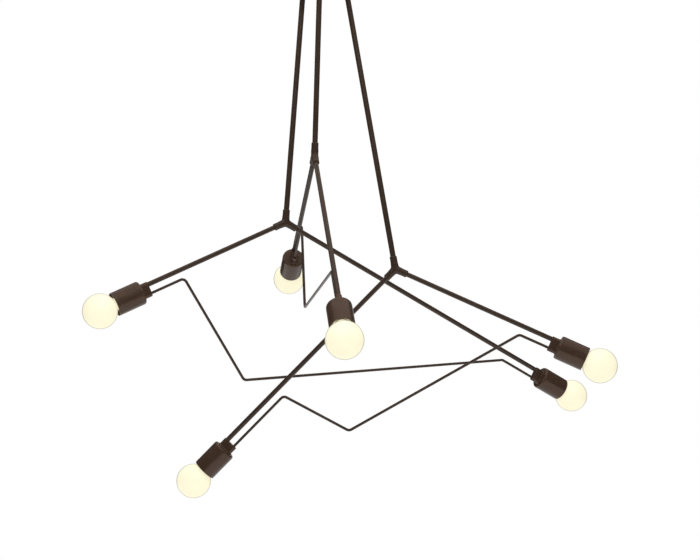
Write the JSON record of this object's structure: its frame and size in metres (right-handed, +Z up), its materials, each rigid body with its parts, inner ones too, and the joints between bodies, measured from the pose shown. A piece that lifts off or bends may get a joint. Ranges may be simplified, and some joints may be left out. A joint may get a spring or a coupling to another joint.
{
  "type": "outdoor pendant light",
  "caption": "Outdoor pendant light with tilted stems from one canopy, each splitting into two arms with globe bulbs, tied by thin bent rods.",
  "frame": {"origin": "centre of the canopy's ceiling face", "axes": "+Z up towards the ceiling, +Y away from the viewer in the picture, +X to the right in the picture"},
  "size_m": [1.2005, 0.9806, 1.2216],
  "materials": {
    "bronze": "satin dark bronze powder coat",
    "frosted_glass": "frosted warm white, lit",
    "nickel": "plated screw cap",
    "porcelain": "glazed white",
    "brass": "rolled sheet",
    "gasket_rubber": "matt",
    "zinc_steel": "zinc plated"
  },
  "bodies": {
    "canopy": {"canopy": "bronze", "canopy_gasket": "gasket_rubber", "ceiling_bar": "zinc_steel", "canopy_studs": "zinc_steel", "canopy_cap_nuts": "bronze", "swivel_collars": "bronze"},
    "right_module": {"right_stem": "bronze", "right_stem_ball": "bronze", "right_joint": "bronze", "right_rod": "bronze", "right_long_arm": "bronze", "right_long_cup": "bronze", "right_long_lampholder": "porcelain", "right_long_contacts": "brass", "right_short_arm": "bronze", "right_short_cup": "bronze", "right_short_lampholder": "porcelain", "right_short_contacts": "brass"},
    "left_module": {"left_stem": "bronze", "left_stem_ball": "bronze", "left_joint": "bronze", "left_rod": "bronze", "left_short_arm": "bronze", "left_short_cup": "bronze", "left_short_lampholder": "porcelain", "left_short_contacts": "brass", "left_long_arm": "bronze", "left_long_cup": "bronze", "left_long_lampholder": "porcelain", "left_long_contacts": "brass"},
    "middle_module": {"middle_stem": "bronze", "middle_stem_ball": "bronze", "middle_joint": "bronze", "middle_rod": "bronze", "middle_far_arm": "bronze", "middle_far_cup": "bronze", "middle_far_lampholder": "porcelain", "middle_far_contacts": "brass", "middle_near_arm": "bronze", "middle_near_cup": "bronze", "middle_near_lampholder": "porcelain", "middle_near_contacts": "brass"},
    "right_long_bulb": {"right_long_globe": "frosted_glass", "right_long_bulb_cap": "nickel"},
    "right_short_bulb": {"right_short_globe": "frosted_glass", "right_short_bulb_cap": "nickel"},
    "left_short_bulb": {"left_short_globe": "frosted_glass", "left_short_bulb_cap": "nickel"},
    "left_long_bulb": {"left_long_globe": "frosted_glass", "left_long_bulb_cap": "nickel"},
    "middle_far_bulb": {"middle_far_globe": "frosted_glass", "middle_far_bulb_cap": "nickel"},
    "middle_near_bulb": {"middle_near_globe": "frosted_glass", "middle_near_bulb_cap": "nickel"}
  },
  "joints": [
    {"name": "right_swivel", "type": "hinge", "parent": "canopy", "child": "right_module", "pos_m": [0.05307, 0.02341, -0.038], "axis": [0.1708, -0.0723, -0.9827], "range_deg": [-15, 4]},
    {"name": "left_swivel", "type": "hinge", "parent": "canopy", "child": "left_module", "pos_m": [-0.0468, 0.03426, -0.038], "axis": [-0.0749, -0.0197, -0.997], "range_deg": [-15, 8]},
    {"name": "middle_swivel", "type": "hinge", "parent": "canopy", "child": "middle_module", "pos_m": [-0.00626, -0.05766, -0.038], "axis": [-0.032, 0.1007, -0.9944], "range_deg": [-20, 25]},
    {"name": "right_long_bulb_turn", "type": "hinge", "parent": "right_module", "child": "right_long_bulb", "pos_m": [-0.29896, -0.00573, -1.18188], "axis": [-0.7002, 0.0298, -0.7134], "range_deg": [0, 1440]},
    {"name": "right_short_bulb_turn", "type": "hinge", "parent": "right_module", "child": "right_short_bulb", "pos_m": [0.628, -0.08306, -0.9115], "axis": [0.9061, -0.1133, -0.4077], "range_deg": [0, 1440]},
    {"name": "left_short_bulb_turn", "type": "hinge", "parent": "left_module", "child": "left_short_bulb", "pos_m": [-0.49311, -0.14212, -0.78702], "axis": [-0.8476, -0.3465, -0.4019], "range_deg": [0, 1440]},
    {"name": "left_long_bulb_turn", "type": "hinge", "parent": "left_module", "child": "left_long_bulb", "pos_m": [0.62161, 0.32214, -1.00968], "axis": [0.8116, 0.3415, -0.4741], "range_deg": [0, 1440]},
    {"name": "middle_far_bulb_turn", "type": "hinge", "parent": "middle_module", "child": "middle_far_bulb", "pos_m": [-0.09547, 0.41828, -0.71444], "axis": [-0.1471, 0.8399, -0.5224], "range_deg": [0, 1440]},
    {"name": "middle_near_bulb_turn", "type": "hinge", "parent": "middle_module", "child": "middle_near_bulb", "pos_m": [0.05182, -0.48288, -0.83765], "axis": [0.1157, -0.7585, -0.6414], "range_deg": [0, 1440]}
  ]
}
